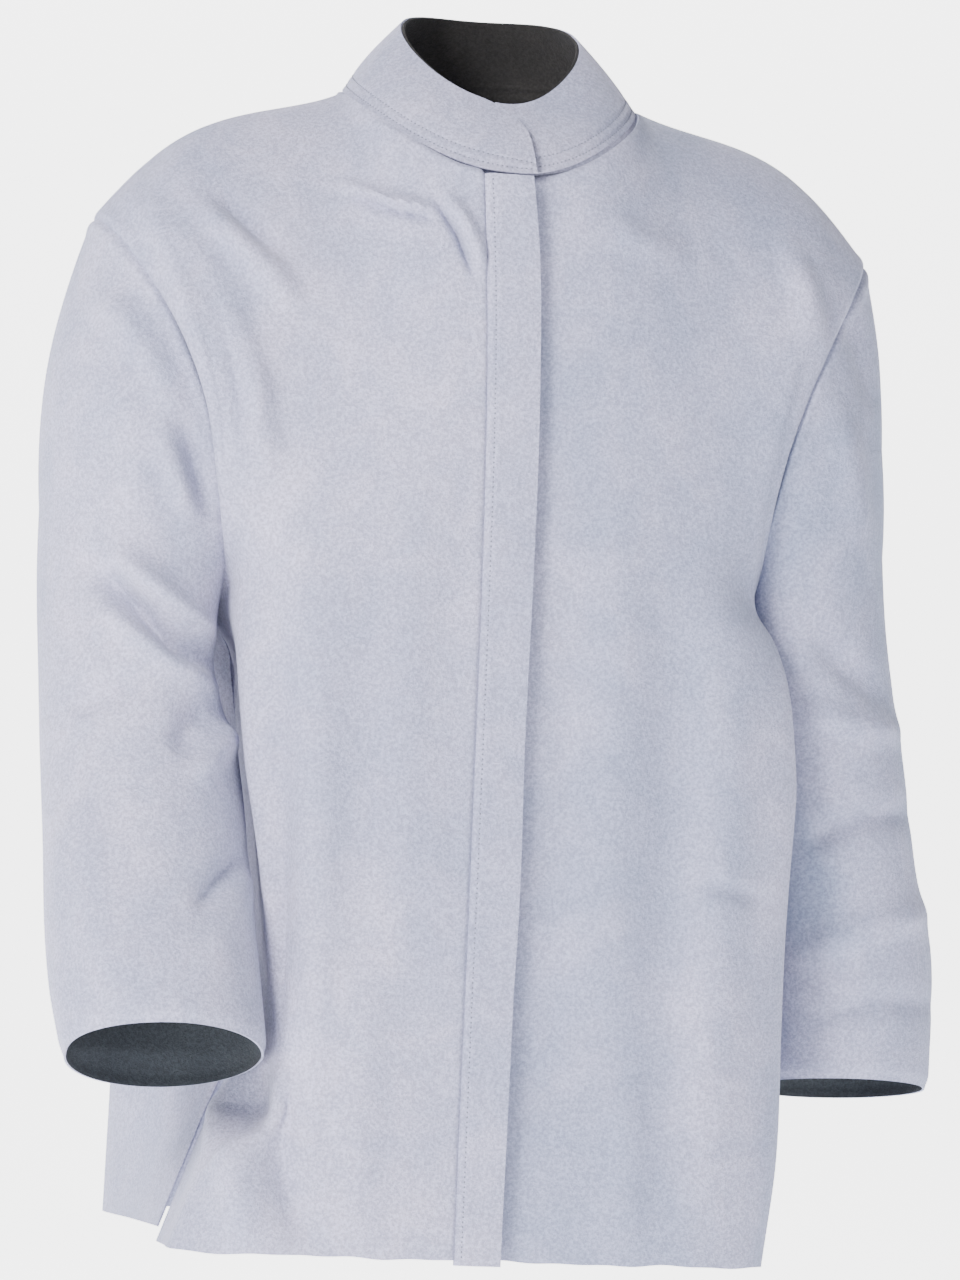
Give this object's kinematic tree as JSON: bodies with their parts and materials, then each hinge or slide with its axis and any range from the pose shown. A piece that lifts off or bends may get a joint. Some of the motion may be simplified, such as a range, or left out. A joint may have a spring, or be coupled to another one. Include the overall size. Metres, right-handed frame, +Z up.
{
  "type": "leather welding jacket",
  "caption": "Long-sleeved suede leather welding jacket with a stand collar and a full-length placket over hidden snaps, shaped as worn.",
  "frame": {"origin": "middle of the neck opening, level with the neck seam at the back", "axes": "+Z up, -Y the jacket's front, +X the wearer's left"},
  "size_m": [0.6201, 0.3137, 0.8236],
  "materials": {
    "suede": "napped split leather, matt",
    "collar_lining": "dark napped leather, matt",
    "snap_metal": "nickel-plated brass, satin"
  },
  "bodies": {
    "torso": {"back_panel": "suede", "right_front_panel": "suede", "left_front_panel": "suede", "collar_outer": "suede", "collar_lining": "collar_lining", "left_front_facing": "suede", "snap_stud_1": "snap_metal", "snap_post_1": "snap_metal", "snap_stud_2": "snap_metal", "snap_post_2": "snap_metal", "snap_stud_3": "snap_metal", "snap_post_3": "snap_metal", "snap_stud_4": "snap_metal", "snap_post_4": "snap_metal", "snap_stud_5": "snap_metal", "snap_post_5": "snap_metal"},
    "right_sleeve": {"right_sleeve": "suede"},
    "left_sleeve": {"left_sleeve": "suede"},
    "placket": {"placket_outer": "suede", "placket_inner": "suede", "snap_cap_1": "snap_metal", "snap_socket_1": "snap_metal", "snap_cap_2": "snap_metal", "snap_socket_2": "snap_metal", "snap_cap_3": "snap_metal", "snap_socket_3": "snap_metal", "snap_cap_4": "snap_metal", "snap_socket_4": "snap_metal", "snap_cap_5": "snap_metal", "snap_socket_5": "snap_metal"}
  },
  "joints": [
    {"name": "right_sleeve_lift", "type": "hinge", "parent": "torso", "child": "right_sleeve", "pos_m": [-0.26, -0.01, -0.0985], "axis": [0, 1, 0], "range_deg": [0, 40]},
    {"name": "left_sleeve_lift", "type": "hinge", "parent": "torso", "child": "left_sleeve", "pos_m": [0.26, -0.01, -0.0985], "axis": [0, -1, 0], "range_deg": [0, 40]},
    {"name": "placket_open", "type": "hinge", "parent": "torso", "child": "placket", "pos_m": [-0.017, -0.138, -0.34], "axis": [0, 0.0546, 0.9985], "range_deg": [-100, 0]}
  ]
}
